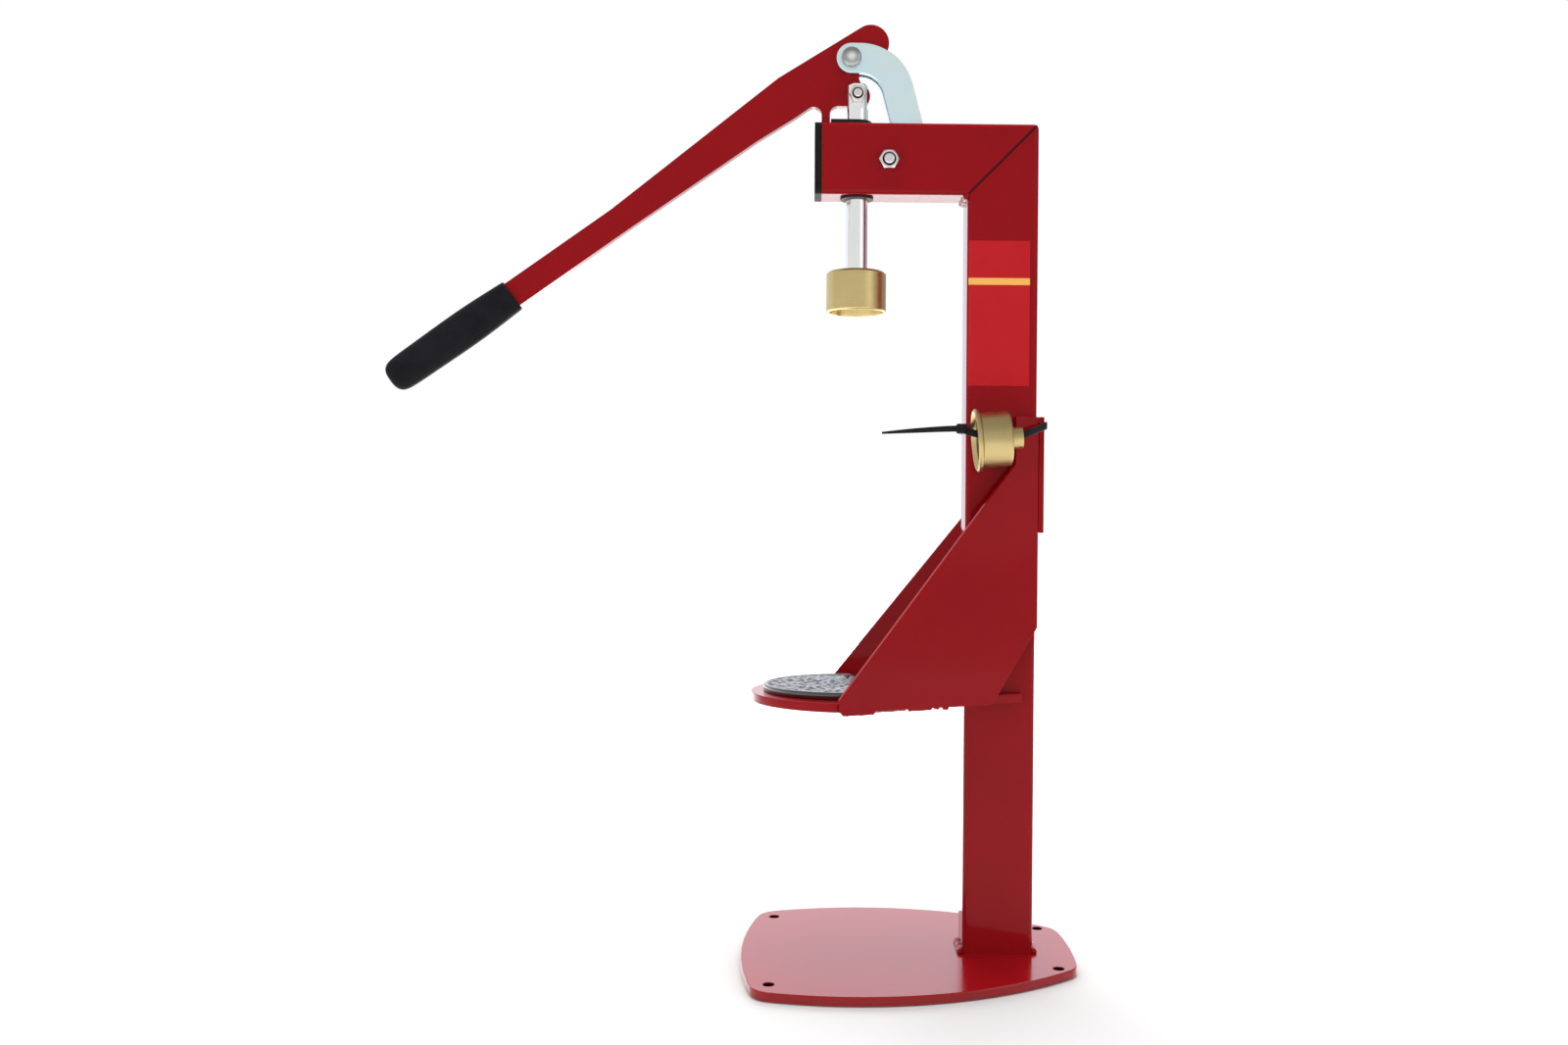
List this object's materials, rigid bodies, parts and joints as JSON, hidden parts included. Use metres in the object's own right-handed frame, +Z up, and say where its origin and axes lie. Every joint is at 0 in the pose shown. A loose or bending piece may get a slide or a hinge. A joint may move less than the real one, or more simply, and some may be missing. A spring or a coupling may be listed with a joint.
{
  "type": "bench capper",
  "caption": "Bench bottle capper: a long lever on bent links drives a plunger with a brass bell down on a bottle, which stands on a winged shelf that slides along a tube column.",
  "frame": {"origin": "on the underside of the base plate, below the axis of the column", "axes": "+X from the plunger towards the column and the rear, +Y across towards the far side, +Z up along the column"},
  "size_m": [0.3919, 0.162, 0.5312],
  "materials": {
    "red_paint": "glossy powder coat",
    "black_plastic": "moulded, satin",
    "bush": "dark, satin",
    "zinc": "bright zinc plate",
    "polished_steel": "ground and polished",
    "brass": "turned, bright",
    "grip": "dipped vinyl, satin",
    "pad": "moulded rubber",
    "label": "printed film"
  },
  "bodies": {
    "frame": {"base_plate": "red_paint", "column_tube": "red_paint", "arm_tube": "red_paint", "arm_end_cap": "black_plastic", "upper_guide_bush": "bush", "lower_guide_bush": "bush", "fulcrum_bolt": "zinc", "fulcrum_nut": "zinc", "fulcrum_spacers": "zinc", "height_label": "label"},
    "plunger": {"plunger_rod": "polished_steel", "capping_bell": "brass", "fork_bolt": "zinc", "fork_nut": "zinc"},
    "lever": {"lever_plate": "red_paint", "lever_grip": "grip"},
    "link": {"link_near": "zinc", "link_far": "zinc", "link_bolt": "zinc", "link_nut": "zinc"},
    "shelf": {"shelf_plate": "red_paint", "shelf_wing_near": "red_paint", "shelf_wing_far": "red_paint", "shelf_back_strap": "red_paint", "shelf_pad": "pad", "spare_bell": "brass", "cable_tie": "black_plastic"}
  },
  "joints": [
    {"name": "plunger_slide", "type": "slide", "parent": "frame", "child": "plunger", "axis": [0, 0, 1], "range_m": [0, 0.0152]},
    {"name": "lever_swing", "type": "hinge", "parent": "plunger", "child": "lever", "pos_m": [-0.082, 0, 0.491], "axis": [0, 1, 0], "range_deg": [0, 75]},
    {"name": "link_swing", "type": "hinge", "parent": "lever", "child": "link", "pos_m": [-0.0855, 0, 0.5115], "axis": [0, 1, 0], "range_deg": [-54, 0]},
    {"name": "shelf_slide", "type": "slide", "parent": "frame", "child": "shelf", "axis": [0, 0, 1], "range_m": [-0.138, 0.11]}
  ],
  "couplings": [
    {"joint": "plunger_slide", "follows": "lever_swing", "m_per_rad": 0.01157},
    {"joint": "link_swing", "follows": "lever_swing", "ratio": -0.7185}
  ]
}
